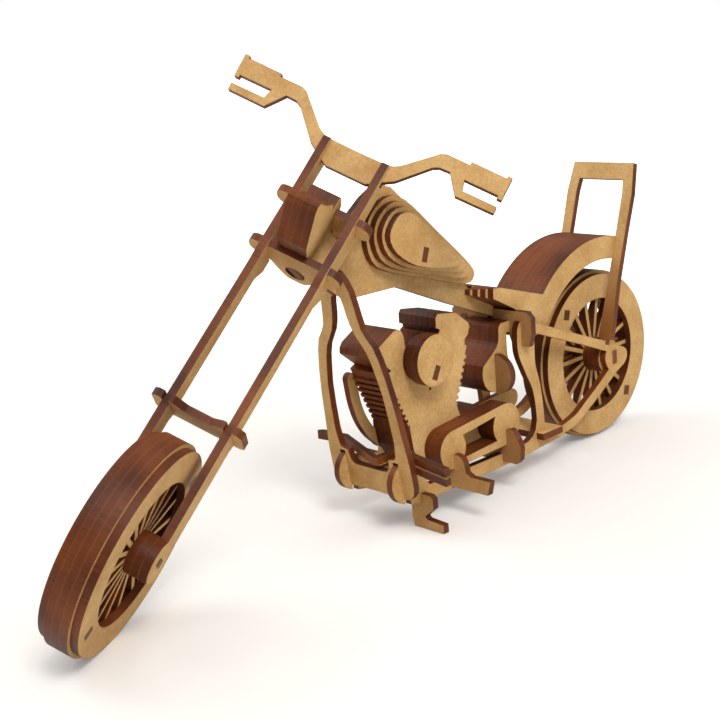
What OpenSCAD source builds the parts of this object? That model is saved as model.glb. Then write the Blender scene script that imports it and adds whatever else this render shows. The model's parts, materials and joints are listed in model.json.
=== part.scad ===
// Laser-cut sheet model of a long-fork chopper motorcycle, flat plies slotted and stacked together.
// Units: millimetres. +Z up, front wheel towards -X, +Y is the rider's right.
// Origin: floor point under the rear axle, on the centre plane.

/* [Sheet] */
// Thickness of every cut sheet
ply = 3; // [2.7:0.1:3.2]
// Running gap between a hub face and the plate beside it
side_gap = 0.3; // [0.2:0.1:0.6]

/* [Wheels] */
// Radius of the three middle plies of each wheel
wheel_r = 40; // [38:0.5:42]
// How much smaller the two outer rings are
ring_step = 1.5; // [0.8:0.1:2.5]
// Inner radius of the outer rings
ring_in = 27; // [25:0.5:29]
// Radius of the stacked hub discs
hub_r = 8; // [7:0.5:9]
// Spokes in each spoked disc
spokes = 18; // [12:1:20]
// Width of one spoke
spoke_w = 2; // [1.4:0.1:2.4]

/* [Steering] */
// Rake of the steering axis from vertical, degrees
rake = 46.6; // [44:0.2:49]
// Angle the fork stands turned to the left, degrees
steer = 39; // [0:1:45]
// Front axle ahead of the steering axis
axle_u = 12.8; // [11:0.2:15]
// Half of the stem hole in each tree, radius
stem_r = 4.1; // [3.8:0.1:4.6]
// Height of the lower tree along the steering axis
tree_lo = 163; // [161:0.2:165]
// Height of the upper tree along the steering axis
tree_hi = 185.3; // [183:0.1:187]
// Height of the fork brace along the steering axis
brace_v = 93.5; // [90:0.5:98]
// Top of the fork plates along the steering axis
fork_top = 212.5; // [210:0.5:216]
// Half length of the handlebar
bar_half = 56.6; // [52:0.5:60]

/* [Frame] */
// Half distance between the inner faces of the side frames, without the running gap
frame_in = 13.5; // [13.5:0.1:14.5]
// Half width of the front loop at its foot
loop_half = 23; // [22:0.5:25]
// Lean of the front loop, degrees forward
loop_lean = 8.7; // [7:0.1:10]
// Lean of the sissy bar, degrees backward
sissy_lean = 18.2; // [16:0.2:20]
// Top of the sissy bar
sissy_top = 128.4; // [120:0.5:135]
// Outer radius of the rear fender
fender_r = 58; // [56:0.5:60]
// Radial depth of the rear fender
fender_depth = 10.6; // [9:0.2:11]
// Radius of the air cleaner
air_r = 10.6; // [9:0.2:12]
// Reach of the forward foot peg to the left
peg_half = 40; // [34:0.5:42]

/* [Hidden] */
$fn = 48;

cut = 20;
base_r = 40;
lift = wheel_r - base_r;
wall_in = frame_in + side_gap;
wall_out = wall_in + ply;
fork_in = 3.5 * ply + side_gap;
fork_out = fork_in + ply;
stem_x = -295.7;
sl = sin(rake);
cl = cos(rake);
mid_half = 1.5 * ply;
ring_half = 2.5 * ply;
side_z = sl * sin(steer);
flat_z = sqrt(1 - side_z * side_z);
drop_mid = wheel_r * flat_z + mid_half * side_z;
drop_ring = (wheel_r - ring_step) * flat_z + ring_half * side_z;
axle_z = max(drop_mid, drop_ring);
axle_v = (axle_z - lift - axle_u * cos(steer) * sl) / cl;
rear_ax = [3, 6.2];
front_ax = [4, 3];
rear_bore = norm(rear_ax) / 2 + 0.06;
front_bore = norm(front_ax) / 2 + 0.06;
loop_x = -142.7;
loop_half_lap = 22.5;
sissy_x = -22.6;
fender_c = [-5, 39.5];
stem_half_y = ply / 2;
stem_half_u = sqrt((stem_r - 0.06) * (stem_r - 0.06) - stem_half_y * stem_half_y);
peg_x = -117.5;
key_x = -84;
fwd_x = [-143.9, -136.5];
fwd_z = 29.6;
seat_x = -67.5;
seat_lap = 67;
sissy_lap = 47.6;
sissy_foot = 50;
mount_top = 26.6;
mount_rear_top = 27.8;
rear_cross_x = [-60, -46];
rear_cross_z = 16.3;
stand_x = -136;
rail_lap = 13.8;
post_mid = -56.6;
wheel_key = [4, 4.6];
key_tilt = -14;
rear_keys = [[-22.8, 23.9], [22.4, -23.4]];
front_keys = [[-9.5, -31], [9.5, 31]];

function fp(u, v) = [stem_x - u * cl + v * sl, u * sl + v * cl];

// ---- placing ----
// a ply standing lengthwise: outline (x, z), from y to y + w
module lengthwise(y, w = ply) {
  translate([0, y + w, 0])
    rotate([90, 0, 0])
      linear_extrude(w)
        children();
}

// a ply standing crosswise: outline (y, z), from x to x + w
module crosswise(x, w = ply) {
  translate([x, 0, 0])
    rotate([90, 0, 90])
      linear_extrude(w)
        children();
}

// both sides at once, mirrored about the centre plane
module both() {
  children();
  mirror([0, 1, 0])
    children();
}

// one ply on each side, inner face at y
module pair(y, w = ply) {
  lengthwise(y, w)
    children();
  lengthwise(-y - w, w)
    children();
}

// straight bar with round ends of two radii
module strut(p, q, r, s) {
  d = norm(q - p);
  a = atan2(q[1] - p[1], q[0] - p[0]);
  o = acos((r - s) / d);
  translate(p)
    circle(r);
  translate(q)
    circle(s);
  polygon([
    p + r * [cos(a + o), sin(a + o)],
    p + r * [cos(a - o), sin(a - o)],
    q + s * [cos(a - o), sin(a - o)],
    q + s * [cos(a + o), sin(a + o)]]);
}

// smooth band through a list of [x, z, half width], round at both ends
function blend(a, b, c, d, t) =
  0.5 * (2 * b + (c - a) * t + (2 * a - 5 * b + 4 * c - d) * t * t + (3 * b - a - 3 * c + d) * t * t * t);
function curve(p, n) = [
  for (i = [0:len(p) - 2])
    for (k = [0:n - 1])
      blend(p[max(i - 1, 0)], p[i], p[i + 1], p[min(i + 2, len(p) - 1)], k / n),
  p[len(p) - 1]];
function heading(s, i) =
  let (q = s[min(i + 1, len(s) - 1)] - s[max(i - 1, 0)]) atan2(q[1], q[0]);
function rim(s, i, turn) = [s[i][0] + s[i][2] * cos(heading(s, i) + turn),
  s[i][1] + s[i][2] * sin(heading(s, i) + turn)];

module path(pts, n = 5, cap = 10) {
  s = curve(pts, n);
  m = len(s) - 1;
  polygon(concat(
    [for (i = [0:m]) rim(s, i, 90)],
    [for (k = [1:cap - 1]) rim(s, m, 90 - 180 * k / cap)],
    [for (i = [m:-1:0]) rim(s, i, -90)],
    [for (k = [1:cap - 1]) rim(s, 0, 270 - 180 * k / cap)]));
}

// smooth closed outline through a list of points
function closed(p, n = 3) = [
  for (i = [0:len(p) - 1])
    for (k = [0:n - 1])
      blend(p[(i + len(p) - 1) % len(p)], p[i], p[(i + 1) % len(p)], p[(i + 2) % len(p)], k / n)];

function arc(c, r, a, b, n = 6) = [for (i = [0:n]) c + r * [cos(a + (b - a) * i / n),
  sin(a + (b - a) * i / n)]];

// closed outline from its right half, listed from the centre line round to the centre line
function twin(h) = concat(h, [for (i = [len(h) - 1:-1:0]) [-h[i][0], h[i][1]]]);

module at_frame() {
  translate([0, 0, lift])
    children();
}

// fork space: x backwards from the steering axis, y across, z up along the axis
module at_fork(turn = steer) {
  translate([stem_x, 0, lift])
    rotate([0, rake, 0])
      rotate([0, 0, turn])
        children();
}

module at_front_wheel() {
  at_fork()
    translate([-axle_u, 0, axle_v])
      children();
}

module at_rear_wheel() {
  translate([0, 0, wheel_r])
    children();
}

// ---- tilted front loop ----
module at_loop() {
  translate([loop_x, 0, 0])
    rotate([0, -loop_lean, 0])
      children();
}

module loop_slab(lo, hi) {
  at_loop()
    translate([0, -60, lo / cos(loop_lean)])
      cube([ply, 120, (hi - lo) / cos(loop_lean)]);
}

module loop_2d() {
  k = 1 / cos(loop_lean);
  g = loop_half - 23;
  difference() {
    polygon(twin([
      [0.5, 15.5 * k], [17.4 + g, 15 * k], [20.6 + g, 15.8 * k], [22.6 + g, 18 * k], [23.3 + g, 21 * k],
        [23.3 + g, 30 * k],
      [22.8 + g, 36 * k], [22 + g, 42 * k], [21.3 + g, 50 * k], [20.4 + g, 58 * k], [19 + g, 67 * k],
        [17.2 + g / 2, 75 * k],
      [15.4, 80 * k], [12.6, 83.6 * k], [10.8, 86.5 * k], [9.9, 91 * k], [9.2, 96 * k], [8.2, 101.5 * k],
      [6.4, 105.5 * k], [3.6, 109 * k], [0.5, 110 * k]]));
    polygon(twin([
      [0.5, 100.5 * k], [2.6, 99 * k], [3.4, 96 * k], [4, 92 * k], [5, 88 * k], [6.4, 84.6 * k],
        [11, 77.8 * k],
      [12.8, 73 * k], [14.4 + g / 2, 66 * k], [15.6 + g / 2, 60 * k], [16.5 + g, 50 * k], [16.9 + g, 40 * k],
      [16.2 + g, 34 * k], [15.6 + g, 32.8 * k], [14.6 + g, 32.2 * k], [11.6, 31.6 * k], [11.4, 29.6 * k],
      [10.8, 27.4 * k], [9.4, 26 * k], [7.6, 25.7 * k], [0.5, 25.7 * k]]));
  }
}

module front_loop() {
  color("peru")
    at_frame()
      difference() {
        at_loop()
          crosswise(0)
            loop_2d();
        both()
          translate([-170, wall_in, loop_half_lap])
            cube([60, ply, 30.9 - loop_half_lap]);
        translate([-180, -stem_half_y, 104.2])
          cube([60, ply, 20]);
      }
}

// ---- side frames: rail, chain stay, seat stay, axle boss and curved post ----
module side_2d() {
  translate([-142.6, 21.8])
    circle(9);
  polygon([[-143, 12.2], [-136, 10.8], [-74, 10.8], [-52, 12.1], [-40, 13], [-40, 16.2], [-48, 16.8],
    [-74, 16.6], [-130, 17], [-136, 24]]);
  polygon([[-70, 16.4], [-66, 16.9], [-62.8, 18.3], [-60.6, 20.8], [-59.2, 26], [-56, 26], [-56, 14], [-70, 14]]);
  path([[-44, 15, 2.1], [-31, 17.6, 2.3], [-22.2, 22, 2.4], [-15.4, 25.6, 2.5], [-8, 29.8, 2.6], [0, 34.6, 2.7]]);
  polygon([[-5, 48.3], [1.5, 45.7], [7.4, 43.3], [9.4, 42], [10.4, 40], [10.3, 38], [9.4, 36.4], [7.7, 34.9],
    [1.4, 32.3], [-4.2, 34.6], [-6.2, 37.2], [-7.3, 40.2], [-6.8, 42.6], [-6, 44]]);
  path([[-60, 67.6, 2.2], [-25, 54, 2.1], [-2, 45, 2.4]]);
  path([[-64.8, 67.2, 5.4], [-64.4, 59, 5.7], [-62.4, 50, 3.8], [-58.8, 40.5, 2.8], [-57, 29, 2.6],
    [-56.7, 16, 2.8]]);
}

module side_frames() {
  color("burlywood")
    at_frame()
      difference() {
        pair(wall_in)
          side_2d();
        loop_slab(-5, loop_half_lap);
        translate([-rear_ax[0] / 2, -40, base_r - rear_ax[1] / 2])
          cube([rear_ax[0], 80, rear_ax[1]]);
        translate([fwd_x[0], -40, fwd_z - ply])
          cube([fwd_x[1] - fwd_x[0], 80, 20]);
        translate([peg_x, -40, rail_lap])
          cube([ply, 80, 10]);
        translate([key_x, -40, rail_lap])
          cube([ply, 80, 10]);
        sissy_slab(sissy_lap, 60);
        translate([seat_x, -40, seat_lap])
          cube([ply, 80, 20]);
        // notch in the back of the post for the rear cross plate
        translate([post_mid, -40, rear_cross_z])
          cube([rear_cross_x[1] + 0.5 - post_mid, 80, ply]);
      }
}

module rear_cross_plate() {
  color("sandybrown")
    at_frame()
      difference() {
        translate([rear_cross_x[0], -20.5, rear_cross_z])
          cube([rear_cross_x[1] - rear_cross_x[0], 41, ply]);
        both()
          translate([post_mid - 20, wall_in, rear_cross_z - 1])
            cube([20, ply, ply + 2]);
      }
}

module seat_cross_plate() {
  color("peru")
    at_frame()
      difference() {
        crosswise(seat_x)
          polygon([[-20, 76], [20, 76], [22.5, 73.5], [22.5, 67], [20.8, 60.8], [wall_in - 2, 60.8],
            [wall_in - 4, 66], [4 - wall_in, 66], [2 - wall_in, 60.8], [-20.8, 60.8], [-22.5, 67],
              [-22.5, 73.5]]);
        both()
          translate([seat_x - 1, wall_in, 50])
            cube([ply + 2, ply, seat_lap - 50]);
        translate([seat_x - 1, -stem_half_y, 50])
          cube([ply + 2, ply, 22.8]);
      }
}

// ---- backbone: neck, tank core and seat spine in one ply ----
module backbone_2d() {
  lo = tree_lo;
  hi = tree_hi;
  su = stem_half_u;
  polygon([
    fp(su, lo + ply), fp(su, lo), fp(-su, lo), fp(-su, lo + ply), fp(-9, lo + ply + 0.3),
    [-157.5, 99.5], [-149.5, 97.3], [-126, 97], [-94.7, 83.5], [-60, 69.2], [-60, 74], [-68, 78],
      [-79.5, 84.5],
    [-84.5, 90], [-81.2, 92.4], [-79.8, 95.5], [-81.9, 98.7], [-109.3, 123.2], [-121, 133.6], [-125.2, 137.4],
    [-130, 138.6], [-135, 138], [-140.5, 135.2], [-147, 130.4], fp(-9, hi - 0.3),
    fp(-su, hi), fp(-su, hi + ply), fp(su, hi + ply), fp(su, hi)]);
}

module backbone() {
  color("tan")
    at_frame()
      difference() {
        lengthwise(-stem_half_y)
          backbone_2d();
        loop_slab(80, 104.2);
        translate([seat_x, -10, 72.8])
          cube([ply, 20, 3.2]);
        key_cut(key_tank);
      }
}

// ---- tank: four stepped plies on each side ----
tank_large = [[-139.5, 129], [-143.3, 121.3], [-141.2, 110.6], [-131.7, 104.4], [-110, 97.6], [-88, 91.2],
  [-81.9, 93.4], [-84.5, 99.4], [-104, 117.2], [-120, 131.4], [-130, 134.2]];
tank_small = [[-134.3, 127.2], [-139.2, 120.8], [-136, 113.4], [-125, 106.4], [-110, 102.8], [-101.5, 102.2],
  [-98.4, 103.9], [-101.5, 107.4], [-111.1, 116.4], [-123, 125.9], [-129, 128.3]];

module tank_2d(i) {
  polygon(closed(tank_large + (i / 3) * (tank_small - tank_large)));
}

module tank_ply(i) {
  at_frame()
    difference() {
      pair(stem_half_y + i * ply)
        tank_2d(i);
      key_cut(key_tank);
    }
}

// ---- keys that pin stacked plies ----
// [x, z, width, height, tilt, y from, y to]
key_tank = [-120.2, 110, ply, 6, -19, -(stem_half_y + 4 * ply), stem_half_y + 4 * ply];
key_air = [-124.6, 63.3, ply, 6, -28, -6.5 * ply, 0];

module key_cut(k) {
  translate([k[0], k[5], k[1]])
    rotate([0, -k[4], 0])
      translate([-k[2] / 2, 0, -k[3] / 2])
        cube([k[2], k[6] - k[5], k[3]]);
}

module cap_2d() {
  difference() {
    translate([-3.5 * ply, 50])
      circle(8.8);
    translate([-3.5 * ply, 30])
      square([60, 60]);
  }
}

module layer_keys() {
  color("saddlebrown")
    at_frame() {
      key_cut(key_tank);
      key_cut(key_air);
      // half discs on the oil tank
      both()
        crosswise(-78.5)
          cap_2d();
    }
}

// ---- engine ----
module fins(n, w, pitch, h) {
  for (i = [0:n - 1])
    translate([-w / 2, i * pitch])
      square([w, h]);
}

module cylinder_2d(x, z, lean, w) {
  translate([x, z])
    rotate(lean) {
      translate([-w / 2 + 1, 0])
        square([w - 2, 30]);
      translate([0, 4])
        fins(8, w, 2.9, 1.6);
    }
}

// crankcase, with the gearbox lobe behind it
module case_2d() {
  polygon([[-133, 41], [-131.5, 30.5], [-126, 22], [-108, 20.5], [-80, 20.5], [-77, 24], [-77, 32], [-80, 35],
    [-102, 37], [-104.5, 44], [-108, 50], [-128, 50], [-131.5, 46]]);
}

module engine_2d() {
  case_2d();
  cylinder_2d(-123.6, 42, 25, 18.5);
  cylinder_2d(-114.4, 42, -21, 19);
  translate([-124, 65.5])
    circle(7.6);
  // heads
  polygon([[-148.7, 73.2], [-148.5, 75.6], [-147, 77.6], [-138.4, 82.2], [-136.2, 82.7], [-133.9, 81.6],
    [-132.9, 79.6], [-131.5, 70], [-140, 66]]);
  polygon([[-113.4, 70], [-113.4, 75.4], [-111.8, 76.2], [-111.8, 77.4], [-113.8, 78.2], [-113.7, 82.4],
    [-112.4, 83.9], [-101.6, 82.3], [-94, 76.4], [-93.3, 74.6],
    [-94.6, 71.5], [-96.8, 69.8], [-97.3, 65.4], [-106, 64]]);
}

module engine_plies_a() {
  color("burlywood")
    at_frame()
      difference() {
        for (i = [-3, -1, 1, 3])
          lengthwise((i - 0.5) * ply)
            engine_2d();
        key_cut(key_air);
        primary_cuts();
      }
}

module engine_plies_b() {
  color("rosybrown")
    at_frame()
      difference() {
        for (i = [-2, 0, 2])
          lengthwise((i - 0.5) * ply)
            engine_2d();
        key_cut(key_air);
        primary_cuts();
      }
}

module air_cleaner_a() {
  color("wheat")
    at_frame()
      difference() {
        for (i = [0, 2])
          lengthwise(-(4.5 + i) * ply)
            translate([-124.6, 68.4])
              circle(i == 2 ? air_r : air_r - 1);
        key_cut(key_air);
      }
}

module air_cleaner_b() {
  color("sienna")
    at_frame()
      difference() {
        lengthwise(-5.5 * ply)
          translate([-124.6, 68.4])
            circle(air_r);
        key_cut(key_air);
      }
}

module exhaust_front() {
  color("sienna")
    at_frame()
      lengthwise(3.5 * ply)
        path([[-143.2, 61, 2.5], [-141.6, 50, 2.4], [-138, 40.6, 2.4], [-131.6, 32.8, 2.4], [-122, 28.8, 2.6],
          [-76, 26.4, 3.2], [-60, 26.8, 3.6], [-43.6, 26.8, 4.6]]);
}

module exhaust_rear() {
  color("chocolate")
    at_frame()
      lengthwise(4.5 * ply)
        path([[-101, 62, 3.4], [-109, 53, 3.3], [-118, 45, 3.2], [-124.5, 37.5, 3.2], [-120.5, 29.5, 3.2],
          [-108, 26.6, 3.2], [-76, 25, 3.2]]);
}

// ---- primary cover on the left ----
module primary_2d() {
  difference() {
    strut([-117.2, 28.6], [-83.6, 30.4], 8.2, 9.2);
    difference() {
      polygon([[-112, 33.2], [-90, 35.6], [-90, 24.6], [-112, 23.4]]);
      translate([-117.2, 28.6])
        circle(7.4);
      translate([-83.6, 30.4])
        circle(8.4);
    }
  }
}

module primary_cuts() {
  translate([peg_x, -60, 5])
    cube([ply, 120, mount_top - 5]);
  translate([key_x, -60, 5])
    cube([ply, 120, mount_rear_top - 5]);
}

module primary_cover_a() {
  color("wheat")
    at_frame()
      difference() {
        for (i = [0, 2])
          lengthwise(-(4.5 + i) * ply)
            primary_2d();
        primary_cuts();
      }
}

module primary_cover_b() {
  color("sienna")
    at_frame()
      difference() {
        lengthwise(-5.5 * ply)
          primary_2d();
        primary_cuts();
      }
}

// ---- crosswise plates under the engine ----
// narrow ply laid on the lobes: left arm, crank forward through the loop, right arm (x, y)
module peg_2d() {
  g = peg_half - 40;
  polygon([[-142.6 - 0.2 * g, -40 - g], [-135.9, -9], [-136.2, -5.4], [-147.7, -5.4], [-135, 24.8],
    [-136.2, 38.6], [-138.2, 40.4], [-140.4, 38], [-138.6, 23.4], [-151, -6], [-151, -8.6], [-139.3, -8.6],
    [-146, -40.6 - g]]);
}

module forward_peg_top() {
  color("chocolate")
    at_frame()
      translate([0, 0, fwd_z])
        linear_extrude(ply)
          peg_2d();
}

module forward_peg_base() {
  g = peg_half - 40;
  color("sienna")
    at_frame()
      translate([0, 0, fwd_z - ply])
        linear_extrude(ply)
          polygon([[-144.2 - 0.2 * g, -42 - g], [-137.6, -9.6], [-140.9, -9.6], [-147.6, -42.6 - g]]);
}

// room for the two exhaust plies on the right
module pipe_gap(x) {
  translate([x - 1, 3.5 * ply, 18.6])
    cube([ply + 2, wall_out - 3.5 * ply, 20]);
}

module foot_peg_2d() {
  polygon(twin([[0.5, 12.2], [36.8, 12.2], [38.4, 18.3], [28.2, 18.3], [25.6, 19.6], [24.8, 23.4],
    [23.6, 25.8],
    [21, mount_top], [0.5, mount_top]]));
}

module foot_peg_plate() {
  color("peru")
    at_frame()
      difference() {
        crosswise(peg_x)
          foot_peg_2d();
        pipe_gap(peg_x);
        both()
          translate([peg_x - 1, wall_in, 5])
            cube([ply + 2, ply, rail_lap - 5]);
      }
}

module rear_key_2d() {
  polygon(twin([[0.5, 13.2], [24.6, 13.2], [26.6, 15.2], [27.2, 20.8], [25.8, 24.4], [23, 28.2], [21.4, 28.6],
    [20, mount_rear_top], [0.5, mount_rear_top]]));
}

module rear_key_plate() {
  color("chocolate")
    at_frame()
      difference() {
        crosswise(key_x)
          rear_key_2d();
        pipe_gap(key_x);
        both()
          translate([key_x - 1, wall_in, 5])
            cube([ply + 2, ply, rail_lap - 5]);
      }
}

// ---- side stand, foot on the floor on the left ----
module kickstand() {
  color("tan")
    at_frame()
      difference() {
        crosswise(stand_x)
          polygon([[-12.6, -lift], [-28.6, -lift], [-28.6, 3.6], [-19.6, 4.2], [-18.8, 5.2], [-19.8, 6.2],
            [-23.6, 9.4], [-23.6, 13.6], [-22, 14.8], [-12.4, 14.8], [-11.6, 13], [-11.6, 4]]);
        translate([stand_x - 1, -wall_out, 10.8])
          cube([ply + 2, ply, 20]);
      }
}

// ---- oil tank stack ----
module oil_2d() {
  path([[-72.3, 68.8, 2.7], [-73.2, 61, 3.4], [-77.2, 51.2, 9.6]]);
  polygon([[-73, 66.6], [seat_x, 66.6], [seat_x, 71.5], [-73, 71.5]]);
}

module oil_tank_plies_a() {
  color("tan")
    at_frame()
      for (i = [-3, -1, 1, 3])
        lengthwise((i - 0.5) * ply)
          oil_2d();
}

module oil_tank_plies_b() {
  color("rosybrown")
    at_frame()
      for (i = [-2, 0, 2])
        lengthwise((i - 0.5) * ply)
          oil_2d();
}

// ---- seat and fender stack ----
module at_sissy() {
  translate([sissy_x, 0, 0])
    rotate([0, sissy_lean, 0])
      children();
}

module sissy_slab(lo, hi) {
  at_sissy()
    translate([0, -60, lo / cos(sissy_lean)])
      cube([ply, 120, (hi - lo) / cos(sissy_lean)]);
}

module fender_2d(i) {
  n = i == 0 ? 0 : 1.5 * (4 - abs(i));
  difference() {
    union() {
      difference() {
        translate(fender_c)
          circle(fender_r);
        translate([-80, -40])
          square([160, 102]);
      }
      polygon([[-80.7 - n, 84 + 0.4 * n], [-80.4 - n, 88.4 - 0.15 * n], [-76, 88], [-45, 78.6], [-35, 78],
        [-35, 60], [-50, 62], [-60, 72], [-68, 77.4]]);
    }
    translate(fender_c)
      circle(fender_r - fender_depth);
  }
}

module seat_notch() {
  translate([seat_x, -60, 40])
    cube([ply, 120, 36]);
}

module behind_sissy() {
  at_sissy()
    translate([0, -60, 0])
      cube([80, 120, 200]);
}

module fender_plies_a() {
  color("burlywood")
    at_frame()
      difference() {
        union() {
          for (i = [-4, -2, 2, 4])
            lengthwise((i - 0.5) * ply)
              fender_2d(i);
          lengthwise(-0.5 * ply)
            difference() {
              fender_2d(0);
              backbone_2d();
            }
        }
        behind_sissy();
        seat_notch();
      }
}

module fender_plies_b() {
  color("rosybrown")
    at_frame()
      difference() {
        for (i = [-3, -1, 1, 3])
          lengthwise((i - 0.5) * ply)
            fender_2d(i);
        behind_sissy();
        seat_notch();
      }
}

module sissy_2d() {
  k = 1 / cos(sissy_lean);
  top = sissy_top;
  difference() {
    polygon(twin([
      [0.5, top * k], [16.8, top * k], [18.3, (top - 13.5) * k], [18, 98 * k], [18, 76 * k],
      [19.6, sissy_foot * k], [wall_out, sissy_foot * k], [wall_out, sissy_lap * k],
      [wall_in, sissy_lap * k], [wall_in, sissy_foot * k], [12.5, sissy_foot * k],
      [13, 76 * k], [13, 86 * k], [0.5, 86 * k]]));
    polygon(twin([
      [0.5, 92.5 * k], [13, 92.5 * k], [13, (top - 13.5) * k], [12.3, (top - 7.5) * k],
      [0.5, (top - 7.5) * k]]));
  }
}

module sissy_bar() {
  color("burlywood")
    at_frame()
      at_sissy()
        crosswise(0)
          sissy_2d();
}

module rear_axle() {
  color("saddlebrown")
    at_rear_wheel()
      translate([-rear_ax[0] / 2, -wall_out - 0.4, -rear_ax[1] / 2])
        cube([rear_ax[0], 2 * wall_out + 0.8, rear_ax[1]]);
}

// ---- wheels, built about their own axle along y ----
module spoked_2d(bore) {
  difference() {
    union() {
      difference() {
        circle(wheel_r);
        circle(ring_in + 2);
      }
      circle(hub_r);
      for (i = [0:spokes - 1])
        rotate(i * 360 / spokes)
          translate([hub_r - 1, -spoke_w / 2])
            square([ring_in + 4 - hub_r, spoke_w]);
    }
    circle(bore);
  }
}

module ring_2d(outer, inner) {
  difference() {
    circle(outer);
    circle(inner);
  }
}

module key_2d(keys) {
  for (k = keys)
    translate(k)
      rotate(key_tilt)
        translate(-wheel_key / 2)
          square(wheel_key);
}

module wheel_keys(keys) {
  lengthwise(-ring_half, 2 * ring_half)
    key_2d(keys);
}

module wheel_rings(keys) {
  pair(mid_half)
    difference() {
      ring_2d(wheel_r - ring_step, ring_in);
      key_2d(keys);
    }
}

module wheel_spoked(bore, keys) {
  pair(ply / 2)
    difference() {
      spoked_2d(bore);
      key_2d(keys);
    }
}

module wheel_middle(bore, keys) {
  lengthwise(-ply / 2)
    difference() {
      ring_2d(wheel_r, ring_in + 2);
      key_2d(keys);
    }
  lengthwise(-ply / 2)
    ring_2d(hub_r, bore);
}

module hub_pair(i, bore) {
  pair(mid_half + i * ply)
    ring_2d(hub_r, bore);
}

// ---- fork ----
module fork_2d() {
  difference() {
    union() {
      translate([-axle_u, axle_v])
        circle(8);
      polygon([[-16.4, axle_v], [-16.8, brace_v - 1], [-15.2, brace_v + ply + 1], [-15.2, 156], [-15.8, 160],
        [-15.8, 190], [-16.6, fork_top - 1], [-15.6, fork_top], [-6.4, fork_top], [-4.8, fork_top - 2],
        [-4.4, 194], [-0.6, 189], [-0.6, 158], [-5.6, 152], [-5.6, brace_v + ply + 3], [-4.2, brace_v + ply],
        [-4.2, brace_v], [-5.8, brace_v - 3], [-5.8, axle_v]]);
    }
    translate([-axle_u - front_ax[0] / 2, axle_v - front_ax[1] / 2])
      square(front_ax);
  }
}

lap = -9;

module fork_plates() {
  color("burlywood")
    at_fork()
      difference() {
        pair(fork_in)
          fork_2d();
        for (v = [tree_lo, tree_hi, brace_v])
          translate([lap, -60, v])
            cube([40, 120, ply]);
        bar_slot();
      }
}

module tree_2d(half, back) {
  // outline (x backwards, y across)
  tip = half - 4;
  side = concat(
    [[-14, 0.5]], [[-14, tip - 1]], arc([-10, tip], 4, 178, 92), arc([-8, tip], 4, 88, 2),
    [[-4, 13]], [[-3.2, 11.2]], [[-1, 9.4]], [[2, 7.6]], [[back - 2, 5.2]], [[back - 0.6, 3.8]],
      [[back, 2.2]],
    [[back, 0.5]]);
  difference() {
    polygon(concat(side, [for (i = [len(side) - 1:-1:0]) [side[i][0], -side[i][1]]]));
    circle(stem_r);
    for (s = [-1, 1])
      translate([-30, s == 1 ? fork_in : -fork_out])
        square([30 + lap, ply]);
  }
}

module lower_tree() {
  color("tan")
    at_fork()
      translate([0, 0, tree_lo])
        linear_extrude(ply)
          tree_2d(19, 7);
}

module upper_tree() {
  color("tan")
    at_fork()
      translate([0, 0, tree_hi])
        linear_extrude(ply)
          difference() {
            tree_2d(19.6, 7);
            translate([-18.6, -1.5 * ply])
              square([18.6 - 8.4, 4 * ply]);
          }
}

module fork_brace() {
  color("peru")
    at_fork()
      translate([0, 0, brace_v])
        linear_extrude(ply)
          difference() {
            polygon([[-19, -16], [-17, -18], [-5, -18], [-3, -16], [-3, 16], [-5, 18], [-17, 18],
              [-19, 16], [-19, 9.5], [-15, 5], [-15, -5], [-19, -9.5]]);
            for (s = [-1, 1])
              translate([-40, s == 1 ? fork_in : -fork_out])
                square([40 + lap, ply]);
          }
}

// ---- handlebar: one ply, leaning forward against the axis ----
bar_lean = 10.4;
bar_u = 12;
bar_v = 203;

module at_bar() {
  translate([-bar_u, 0, bar_v])
    rotate([0, -bar_lean, 0])
      children();
}

module bar_2d() {
  e = bar_half - 56.6;
  polygon(twin([[0.5, 0], [8.5, 0], [14.6, 3.8], [18, 5.9], [28.2, 16.8], [30.4, 18], [34.8, 18.2],
    [40.6, 10.6],
    [56.4 + e, 10.8], [56.4 + e, 13.6], [42.2, 13.6], [41, 17.8], [54.9 + e, 17.8], [54.9 + e, 16.6],
    [56.8 + e, 16.6], [56.8 + e, 26.2], [54.9 + e, 26.2], [54.9 + e, 25.2], [40.4, 25.2], [40.4, 23.9],
    [30.8, 23.9], [28.4, 22.9], [26.4, 20.9], [17.2, 12.2], [14.8, 10.8], [12, 10.2], [0.5, 10]]));
}

module handlebar() {
  color("burlywood")
    at_fork()
      at_bar()
        crosswise(0)
          bar_2d();
}

module bar_slot() {
  at_bar()
    translate([0, -40, 1.4])
      cube([ply, 80, 30]);
}

// ---- headlight stack between the trees ----
module headlight_2d() {
  // outline (x backwards, v)
  polygon([[-14.3, tree_lo + ply], [-15.2, tree_lo + ply - 1.1], [-22.4, tree_lo + ply - 1.1], [-37.2, 172.6],
    [-38.7, 174.6], [-37.6, 176.8], [-28, 181.4], [-22.6, tree_hi], [-18.6, tree_hi],
      [-18.6, tree_hi + ply + 1.8],
    [-17, tree_hi + ply + 3.2], [-10.4, tree_hi + ply + 3.2], [-8.4, tree_hi + ply + 1.4], [-8.4, 176],
    [-9.6, tree_lo + ply]]);
}

module headlight_ply(i) {
  at_fork()
    lengthwise((i - 0.5) * ply)
      headlight_2d();
}

module headlight_plies_a() {
  color("rosybrown") {
    headlight_ply(-1);
    headlight_ply(1);
  }
}

module headlight_plies_b() {
  color("sienna") {
    headlight_ply(0);
    headlight_ply(2);
  }
}

module front_axle() {
  color("saddlebrown")
    at_front_wheel()
      translate([-front_ax[0] / 2, -fork_out - 0.4, -front_ax[1] / 2])
        cube([front_ax[0], 2 * fork_out + 0.8, front_ax[1]]);
}

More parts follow.
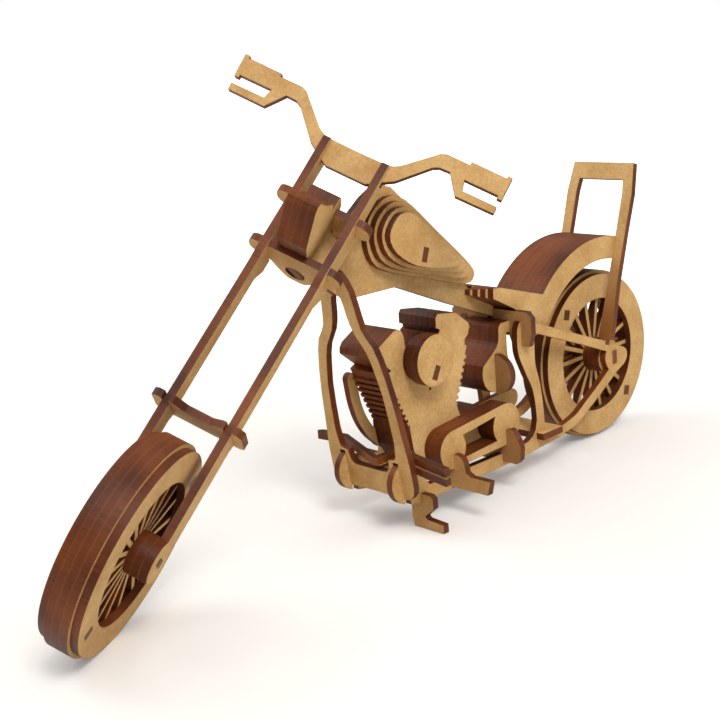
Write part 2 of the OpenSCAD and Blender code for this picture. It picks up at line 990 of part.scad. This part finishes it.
backbone();
color("peru") tank_ply(0);  // tank_ply_1
color("tan") tank_ply(1);  // tank_ply_2
color("peru") tank_ply(2);  // tank_ply_3
color("wheat") tank_ply(3);  // tank_ply_4
layer_keys();
side_frames();
front_loop();
engine_plies_a();
engine_plies_b();
air_cleaner_a();
air_cleaner_b();
exhaust_front();
exhaust_rear();
primary_cover_a();
primary_cover_b();
forward_peg_top();
forward_peg_base();
foot_peg_plate();
rear_key_plate();
kickstand();
oil_tank_plies_a();
oil_tank_plies_b();
seat_cross_plate();
rear_cross_plate();
fender_plies_a();
fender_plies_b();
sissy_bar();
rear_axle();
fork_plates();
lower_tree();
upper_tree();
fork_brace();
handlebar();
headlight_plies_a();
headlight_plies_b();
front_axle();
color("burlywood") at_front_wheel() wheel_rings(front_keys);  // front_wheel_rings
color("peru") at_front_wheel() wheel_spoked(front_bore, front_keys);  // front_wheel_spoked
color("sienna") at_front_wheel() wheel_middle(front_bore, front_keys);  // front_wheel_middle
color("tan") at_front_wheel() hub_pair(0, front_bore);  // front_wheel_hub_a
color("sienna") at_front_wheel() hub_pair(1, front_bore);  // front_wheel_hub_b
color("burlywood") at_rear_wheel() wheel_rings(rear_keys);  // rear_wheel_rings
color("peru") at_rear_wheel() wheel_spoked(rear_bore, rear_keys);  // rear_wheel_spoked
color("sienna") at_rear_wheel() wheel_middle(rear_bore, rear_keys);  // rear_wheel_middle
color("tan") at_rear_wheel() { hub_pair(0, rear_bore); hub_pair(2, rear_bore); }  // rear_wheel_hub_a
color("sienna") at_rear_wheel() hub_pair(1, rear_bore);  // rear_wheel_hub_b
color("saddlebrown") at_front_wheel() wheel_keys(front_keys);  // front_wheel_keys
color("saddlebrown") at_rear_wheel() wheel_keys(rear_keys);  // rear_wheel_keys
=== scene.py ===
import json
import math
import bpy
from mathutils import Matrix, Vector

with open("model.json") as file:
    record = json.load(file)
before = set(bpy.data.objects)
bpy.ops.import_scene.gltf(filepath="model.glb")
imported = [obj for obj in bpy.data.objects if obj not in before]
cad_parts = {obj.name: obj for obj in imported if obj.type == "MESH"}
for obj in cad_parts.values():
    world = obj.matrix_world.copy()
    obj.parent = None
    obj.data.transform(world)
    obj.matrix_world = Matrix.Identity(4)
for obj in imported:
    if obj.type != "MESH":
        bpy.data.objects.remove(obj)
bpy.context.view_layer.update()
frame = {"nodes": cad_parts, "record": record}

# ---- directions of the sheets' broad faces, from the record's own joints ----
joints = {j["name"]: j for j in frame["record"]["behaviour"]["joints"]}
STEM = Vector(joints["steering"]["axis"]).normalized()
CROSS = Vector(joints["front_wheel_spin"]["axis"]).normalized()
BACK = CROSS.cross(STEM).normalized()
X = Vector((1, 0, 0))
Y = Vector((0, 1, 0))
Z = Vector((0, 0, 1))

BAR_LEAN = 10.4
LOOP_LEAN = 8.7
SISSY_LEAN = -18.2


def turned(start, towards, angle):
    """A direction, turned towards another by an angle in degrees."""
    turn = math.radians(angle)
    return start * math.cos(turn) + towards * math.sin(turn)


BAR = turned(BACK, STEM, BAR_LEAN)
LOOP = turned(X, Z, LOOP_LEAN)
SISSY = turned(X, Z, SISSY_LEAN)

# nodes whose sheets don't stand lengthwise; every other sheet faces sideways
FACE = {
    "layer_keys": X, "foot_peg_plate": X, "rear_key_plate": X, "kickstand": X, "seat_cross_plate": X,
    "rear_axle": X, "rear_wheel_keys": X,
    "forward_peg_top": Z, "forward_peg_base": Z, "rear_cross_plate": Z,
    "front_loop": LOOP, "sissy_bar": SISSY, "handlebar": BAR,
    "lower_tree": STEM, "upper_tree": STEM, "fork_brace": STEM, "front_axle": STEM,
    "fork_plates": CROSS, "headlight_plies_a": CROSS, "headlight_plies_b": CROSS,
    "front_wheel_keys": BACK,
}


def face_of(name):
    if name in FACE:
        return FACE[name]
    return CROSS if name.startswith("front_wheel") else Y


# ---- laser-cut board material ----
# faces
FACE_DULL = (178, 133, 74)
FACE_FAIR = (216, 177, 118)
FIBRE_DARK = (172, 128, 74)
FIBRE_PALE = (224, 190, 134)
SPECK = (140, 94, 50)
SCORCH = (150, 96, 40)
# cut edges
EDGE_BROWN = (120, 60, 24)
EDGE_SOOT = (70, 29, 11)
STREAK_DARK = (50, 20, 8)
STREAK_PALE = (156, 92, 48)
# painted highlight along the arris, where the cut meets the broad face
ARRIS_HIGHLIGHT = (176, 112, 52)
NICK = (206, 152, 98)

# noises: scale per metre, detail, roughness
PATCHES = (60, 3, 0.6)
FIBRES = (900, 4, 0.75)
SPECKS = (2600, 2, 0.6)
STREAKS = (1900, 3, 0.7)
SOOT = (30, 2, 0.5)

# ramps: the noise's value and the strength there, at both ends
PATCHY = ((0.22, 0.0), (0.78, 1.0))
SOOTY = ((0.36, 0.0), (0.64, 1.0))

# what is laid over the base colour in turn: colour, noise, ramp
FACE_LAYERS = (
    (FIBRE_DARK, "fibres", ((0.50, 0.0), (0.72, 0.7))),
    (FIBRE_PALE, "fibres", ((0.30, 0.5), (0.46, 0.0))),
    (SPECK, "specks", ((0.66, 0.0), (0.74, 0.6))),
)
EDGE_LAYERS = (
    (STREAK_DARK, "streaks", ((0.50, 0.0), (0.72, 0.5))),
    (STREAK_PALE, "streaks", ((0.26, 0.16), (0.42, 0.0))),
)

BROAD = 0.8               # a normal that agrees more than this with the sheet's own is a broad face
CUT_WIDTH = 0.0009        # radius that rounds the normals at the cut
SCORCH_RISE = 3.0         # how fast the face darkens towards the cut
SCORCH_LEAST = 0.34       # strength of the scorching where the patches are low
SCORCH_MORE = 0.6         # and what the patches add
# painted highlight along the arris: where it starts, how fast it rises and how strong it is
RIM_HIGHLIGHT_FROM = 0.22
RIM_HIGHLIGHT_RISE = 3.2
RIM_HIGHLIGHT_STRENGTH = 0.15
TINT_LEAST = 0.85        # the brown tint's share where the patches are low
TINT_MORE = 0.3
NICKS = 48                # cells of nicks per metre
NICK_SIZE = 0.016
THROUGH = 0.02            # scale across the sheet, so that streaks run through its thickness
GRAIN_SLIDE = (0.37, 0.61)   # how far a sheet's seed slides its grain
EDGE_ROUGH = 0.47
FACE_ROUGH = 0.64
SHEEN = 0.3
REFRACTION = 1.45
BUMP_STRENGTH = 0.25
BUMP_DEPTH = 0.00012


def srgb(colour, shift=0):
    """An 8-bit colour, each channel brightened by shift, as linear values."""
    def linear(channel):
        share = (channel + shift) / 255
        return share / 12.92 if share <= 0.04045 else ((share + 0.055) / 1.055) ** 2.4
    return (*(linear(channel) for channel in colour), 1)


def smooth_range(tree, value, inside, outside):
    """Smooth step that takes the range inside to the range outside."""
    step = tree.nodes.new("ShaderNodeMapRange")
    step.interpolation_type = "SMOOTHSTEP"
    tree.links.new(value, step.inputs["Value"])
    for socket, limit in zip(("From Min", "From Max", "To Min", "To Max"), (*inside, *outside)):
        step.inputs[socket].default_value = limit
    return step.outputs["Result"]


class Board:
    """Laser-cut fibreboard: fibrous tan faces, scorched next to the cut, and brown cut edges streaked
    through the thickness, with a painted highlight along the arris and a few pale nicks where the part
    was snapped out."""

    def __init__(self, name, normal, tone, tint_and_shade_colour, seed, shift, low_shade=None):
        self.material = bpy.data.materials.new(name)
        self.material.use_nodes = True
        self.tree = self.material.node_tree
        self.tree.nodes.clear()
        self.normal = normal
        self.tone = tone
        self.tint_and_shade_colour = srgb(tint_and_shade_colour)
        self.shift = shift
        self.low_shade = low_shade
        self.coordinates(seed)
        self.measures()
        self.surface(self.cut_edge(), self.broad_face())

    # -- small helpers --
    def node(self, kind, **settings):
        made = self.tree.nodes.new(kind)
        for setting, value in settings.items():
            setattr(made, setting, value)
        return made

    def link(self, output, socket):
        self.tree.links.new(output, socket)

    def feed(self, socket, value):
        if isinstance(value, (int, float, tuple)):
            socket.default_value = value
        else:
            self.link(value, socket)

    def maths(self, operation, *values, clamp=False):
        step = self.node("ShaderNodeMath", operation=operation, use_clamp=clamp)
        for socket, value in zip(step.inputs, values):
            self.feed(socket, value)
        return step.outputs[0]

    def blend(self, under, over, factor):
        mix = self.node("ShaderNodeMix", data_type="RGBA", clamp_factor=True)
        self.feed(mix.inputs["Factor"], factor)
        # a mix node has its two colours at sockets 6 and 7, and the mixed colour at output 2
        self.feed(mix.inputs[6], under)
        self.feed(mix.inputs[7], over)
        return mix.outputs[2]

    def noise(self, vector, kind):
        texture = self.node("ShaderNodeTexNoise")
        for socket, value in zip(("Scale", "Detail", "Roughness"), kind):
            texture.inputs[socket].default_value = value
        self.link(vector, texture.inputs["Vector"])
        return texture.outputs["Fac"]

    def ramp(self, value, ends):
        """Grey that runs between two ends, each a value and its brightness."""
        ramp = self.node("ShaderNodeValToRGB")
        for stop, (position, grey) in zip(ramp.color_ramp.elements, ends):
            stop.position = position
            stop.color = (grey, grey, grey, 1)
        self.link(value, ramp.inputs["Fac"])
        return ramp.outputs["Color"]

    def alignment(self, vector):
        """How nearly a direction is the sheet's own normal, 0 to 1."""
        dot = self.node("ShaderNodeVectorMath", operation="DOT_PRODUCT")
        self.link(vector, dot.inputs[0])
        dot.inputs[1].default_value = self.normal
        return self.maths("ABSOLUTE", dot.outputs["Value"])

    # -- the look, step by step --
    def coordinates(self, seed):
        self.place = self.node("ShaderNodeTexCoord")
        # turned so that local z is the sheet's own normal
        flat = self.node("ShaderNodeMapping")
        flat.inputs["Rotation"].default_value = self.normal.to_track_quat("Z", "Y").inverted().to_euler()
        flat.inputs["Location"].default_value = (*(seed * slide for slide in GRAIN_SLIDE), 0)
        self.link(self.place.outputs["Object"], flat.inputs["Vector"])
        self.flat = flat.outputs["Vector"]
        through = self.node("ShaderNodeMapping")
        through.inputs["Scale"].default_value = (1, 1, THROUGH)
        self.link(self.flat, through.inputs["Vector"])
        self.through = through.outputs["Vector"]

    def measures(self):
        self.is_face = self.maths("GREATER_THAN", self.alignment(self.place.outputs["Normal"]), BROAD)
        # distance to the cut, from rounded normals
        wide = self.node("ShaderNodeBevel", samples=4)
        wide.inputs["Radius"].default_value = CUT_WIDTH
        local = self.node("ShaderNodeVectorTransform", vector_type="NORMAL", convert_from="WORLD",
                          convert_to="OBJECT")
        self.link(wide.outputs["Normal"], local.inputs["Vector"])
        softened = self.alignment(local.outputs["Vector"])
        off_face = self.maths("SUBTRACT", 1.0, softened, clamp=True)
        off_edge = self.maths("SUBTRACT", softened, RIM_HIGHLIGHT_FROM, clamp=True)
        self.near_cut = self.maths("MULTIPLY", off_face, SCORCH_RISE, clamp=True)
        # where the painted highlight along the arris falls, next to the broad face
        self.rim_highlight = self.maths("MULTIPLY", off_edge, RIM_HIGHLIGHT_RISE, clamp=True)
        self.noises = {
            "patches": self.noise(self.flat, PATCHES),
            "fibres": self.noise(self.flat, FIBRES),
            "specks": self.noise(self.flat, SPECKS),
            "streaks": self.noise(self.through, STREAKS),
            # not slid from sheet to sheet, so it runs on over stacked edges
            "soot": self.noise(self.place.outputs["Object"], SOOT),
        }

    def layered(self, colour, layers):
        for over, noise, ends in layers:
            colour = self.blend(colour, srgb(over), self.ramp(self.noises[noise], ends))
        return colour

    def broad_face(self):
        patches = self.noises["patches"]
        face = self.blend(srgb(FACE_DULL, self.shift), srgb(FACE_FAIR, self.shift),
                          self.ramp(patches, PATCHY))
        face = self.layered(face, FACE_LAYERS)
        # painted shade: the sheet darkened to brown towards its bottom
        if self.low_shade:
            face = self.blend(face, self.tint_and_shade_colour, self.fade(*self.low_shade))
        # a brown tint over the whole face, stronger where the patches are high
        tinted = self.maths("MULTIPLY_ADD", patches, self.tone * TINT_MORE, self.tone * TINT_LEAST)
        face = self.blend(face, self.tint_and_shade_colour, tinted)
        uneven = self.maths("MULTIPLY_ADD", patches, SCORCH_MORE, SCORCH_LEAST)
        return self.blend(face, srgb(SCORCH), self.maths("MULTIPLY", self.near_cut, uneven))

    def fade(self, full, none, strength):
        """Full strength below one height, none above another."""
        apart = self.node("ShaderNodeSeparateXYZ")
        self.link(self.place.outputs["Object"], apart.inputs["Vector"])
        return smooth_range(self.tree, apart.outputs["Z"], (full, none), (strength, 0.0))

    def cut_edge(self):
        brown = srgb((EDGE_BROWN[0] + self.shift, EDGE_BROWN[1] + self.shift, EDGE_BROWN[2]))
        black = srgb((EDGE_SOOT[0] + self.shift, EDGE_SOOT[1], EDGE_SOOT[2]))
        edge = self.blend(brown, black, self.ramp(self.noises["soot"], SOOTY))
        edge = self.layered(edge, EDGE_LAYERS)
        # painted highlight: a lighter line along the arris
        edge = self.blend(edge, srgb(ARRIS_HIGHLIGHT), self.maths("MULTIPLY", self.rim_highlight, RIM_HIGHLIGHT_STRENGTH))
        cells = self.node("ShaderNodeTexVoronoi", feature="F1")
        cells.inputs["Scale"].default_value = NICKS
        self.link(self.through, cells.inputs["Vector"])
        nick = self.maths("LESS_THAN", cells.outputs["Distance"], NICK_SIZE)
        return self.blend(edge, srgb(NICK), nick)

    def surface(self, edge, face):
        shader = self.node("ShaderNodeBsdfPrincipled")
        shader.inputs["Specular IOR Level"].default_value = SHEEN
        shader.inputs["IOR"].default_value = REFRACTION
        self.link(self.blend(edge, face, self.is_face), shader.inputs["Base Color"])
        rough = self.maths("MULTIPLY_ADD", self.is_face, FACE_ROUGH - EDGE_ROUGH, EDGE_ROUGH)
        self.link(rough, shader.inputs["Roughness"])
        bump = self.node("ShaderNodeBump")
        bump.inputs["Strength"].default_value = BUMP_STRENGTH
        bump.inputs["Distance"].default_value = BUMP_DEPTH
        grain = self.blend(self.noises["streaks"], self.noises["fibres"], self.is_face)
        self.link(grain, bump.inputs["Height"])
        self.link(bump.outputs["Normal"], shader.inputs["Normal"])
        output = self.node("ShaderNodeOutputMaterial")
        self.link(shader.outputs["BSDF"], output.inputs["Surface"])


# plain sheets, and those that are browner all over: strength and colour of the brown tint
PLAIN = (0.0, (146, 90, 40))
BROWNER = {
    "layer_keys": (0.6, (122, 72, 38)), "rear_key_plate": (0.6, (132, 76, 40)),
    "seat_cross_plate": (0.5, (128, 74, 38)), "foot_peg_plate": (0.25, (150, 96, 50)),
    "forward_peg_top": (1.0, (74, 40, 24)), "forward_peg_base": (0.7, (96, 56, 32)),
    "front_wheel_keys": (0.5, (128, 78, 42)), "rear_wheel_keys": (0.5, (128, 78, 42)),
    "kickstand": (0.2, (150, 96, 50)),
}
# sheets with painted shade low down: fully below the first height, not at all above the second, and how
# strongly
PAINTED_LOW_SHADE = {"sissy_bar": (0.052, 0.096, 0.95)}
# sheets take these small differences in brightness in turn, and each has grain of its own
SHIFTS = (-3, 2, 0, 4, -1)
SEED_STEP = 1.7

for i, (name, obj) in enumerate(sorted(frame["nodes"].items())):
    tone, tint_and_shade_colour = BROWNER.get(name, PLAIN)
    board = Board("board_" + name, face_of(name), tone, tint_and_shade_colour, i * SEED_STEP, SHIFTS[i % len(SHIFTS)],
                  PAINTED_LOW_SHADE.get(name))
    obj.data.materials.clear()
    obj.data.materials.append(board.material)
    for polygon in obj.data.polygons:
        polygon.material_index = 0

# ---- floor: pale and lit near the model, glowing up to white further out ----
FLOOR_SIZE = 12
FLOOR_DROP = 0.0002
FLOOR_COLOUR = (0.80, 0.775, 0.74, 1)
FLOOR_ROUGH = 0.95
FLOOR_SHEEN = 0.1
MIDDLE = (-0.14, 0.02, 0)
GLOW_REACH = (0.16, 0.75)    # distances from the middle
GLOW = (0.16, 1.0)           # strength there
WHITE = (1, 1, 1, 1)


def floor_material():
    material = bpy.data.materials.new("floor_white")
    material.use_nodes = True
    tree = material.node_tree
    surface = tree.nodes["Principled BSDF"]
    surface.inputs["Base Color"].default_value = FLOOR_COLOUR
    surface.inputs["Roughness"].default_value = FLOOR_ROUGH
    surface.inputs["Specular IOR Level"].default_value = FLOOR_SHEEN
    where = tree.nodes.new("ShaderNodeTexCoord")
    away = tree.nodes.new("ShaderNodeVectorMath")
    away.operation = "DISTANCE"
    tree.links.new(where.outputs["Object"], away.inputs[0])
    away.inputs[1].default_value = MIDDLE
    # the glow is seen, but lights nothing
    rays = tree.nodes.new("ShaderNodeLightPath")
    seen = tree.nodes.new("ShaderNodeMath")
    seen.operation = "MAXIMUM"
    tree.links.new(rays.outputs["Is Camera Ray"], seen.inputs[0])
    tree.links.new(rays.outputs["Is Transmission Ray"], seen.inputs[1])
    strength = tree.nodes.new("ShaderNodeMath")
    strength.operation = "MULTIPLY"
    tree.links.new(seen.outputs[0], strength.inputs[0])
    tree.links.new(smooth_range(tree, away.outputs["Value"], GLOW_REACH, GLOW), strength.inputs[1])
    glow = tree.nodes.new("ShaderNodeEmission")
    glow.inputs["Color"].default_value = WHITE
    tree.links.new(strength.outputs[0], glow.inputs["Strength"])
    both = tree.nodes.new("ShaderNodeAddShader")
    tree.links.new(surface.outputs[0], both.inputs[0])
    tree.links.new(glow.outputs[0], both.inputs[1])
    tree.links.new(both.outputs[0], tree.nodes["Material Output"].inputs["Surface"])
    return material


bpy.ops.mesh.primitive_plane_add(size=FLOOR_SIZE, location=(0, 0, -FLOOR_DROP))
floor = bpy.context.object
floor.name = "floor"
floor.data.materials.append(floor_material())

# ---- world: white to the camera, and as light brighter overhead than at the horizon ----
SKY_COLOUR = (1, 0.985, 0.96, 1)
SKY_HEIGHTS = (0.1, 0.9)
SKY_STRENGTHS = (0.2, 0.8)

world = bpy.data.worlds.new("studio")
bpy.context.scene.world = world
world.use_nodes = True
sky_tree = world.node_tree
sky = sky_tree.nodes["Background"]
sky.inputs["Color"].default_value = SKY_COLOUR
way = sky_tree.nodes.new("ShaderNodeTexCoord")
split = sky_tree.nodes.new("ShaderNodeSeparateXYZ")
sky_tree.links.new(way.outputs["Generated"], split.inputs["Vector"])
overhead = smooth_range(sky_tree, split.outputs["Z"], SKY_HEIGHTS, SKY_STRENGTHS)
sky_tree.links.new(overhead, sky.inputs["Strength"])
white = sky_tree.nodes.new("ShaderNodeBackground")
white.inputs["Color"].default_value = WHITE
white.inputs["Strength"].default_value = 1.0
path = sky_tree.nodes.new("ShaderNodeLightPath")
either = sky_tree.nodes.new("ShaderNodeMixShader")
sky_tree.links.new(path.outputs["Is Camera Ray"], either.inputs["Fac"])
sky_tree.links.new(sky.outputs[0], either.inputs[1])
sky_tree.links.new(white.outputs[0], either.inputs[2])
sky_tree.links.new(either.outputs[0], sky_tree.nodes["World Output"].inputs["Surface"])

# ---- lamps ----
AIM = Vector((-0.12, 0, 0.06))


def lamp(name, where, size, power):
    light = bpy.data.lights.new(name, "AREA")
    light.shape = "RECTANGLE"
    light.size, light.size_y = size
    light.energy = power
    holder = bpy.data.objects.new(name, light)
    bpy.context.collection.objects.link(holder)
    holder.location = where
    holder.rotation_mode = "QUATERNION"
    holder.rotation_quaternion = (AIM - Vector(where)).to_track_quat("-Z", "Y")


lamp("key", (-0.55, -0.95, 1.15), (0.45, 0.45), 12)
lamp("fill", (0.9, -0.7, 0.9), (0.8, 0.8), 4)
lamp("back", (-0.6, 0.9, 1.0), (0.8, 0.6), 5)

# ---- camera ----
SENSOR = 36
LENS = 64
STAND = (-0.48348, -0.36006, 0.19992)
RIGHT = (0.71489513, -0.69481706, -0.07844872)
UP = (0.23084766, 0.12862662, 0.96445039)
AHEAD = (0.66002599, 0.70759059, -0.25235144)

cam_data = bpy.data.cameras.new("camera")
cam_data.sensor_width = SENSOR
cam_data.lens = LENS
cam_data.clip_start = 0.01
cam_data.clip_end = 20
cam = bpy.data.objects.new("camera", cam_data)
bpy.context.collection.objects.link(cam)
bpy.context.scene.camera = cam
rows = [(r, u, -a, s) for r, u, a, s in zip(RIGHT, UP, AHEAD, STAND)]
cam.matrix_world = Matrix((*rows, (0, 0, 0, 1)))

bpy.context.scene.view_settings.view_transform = "Standard"
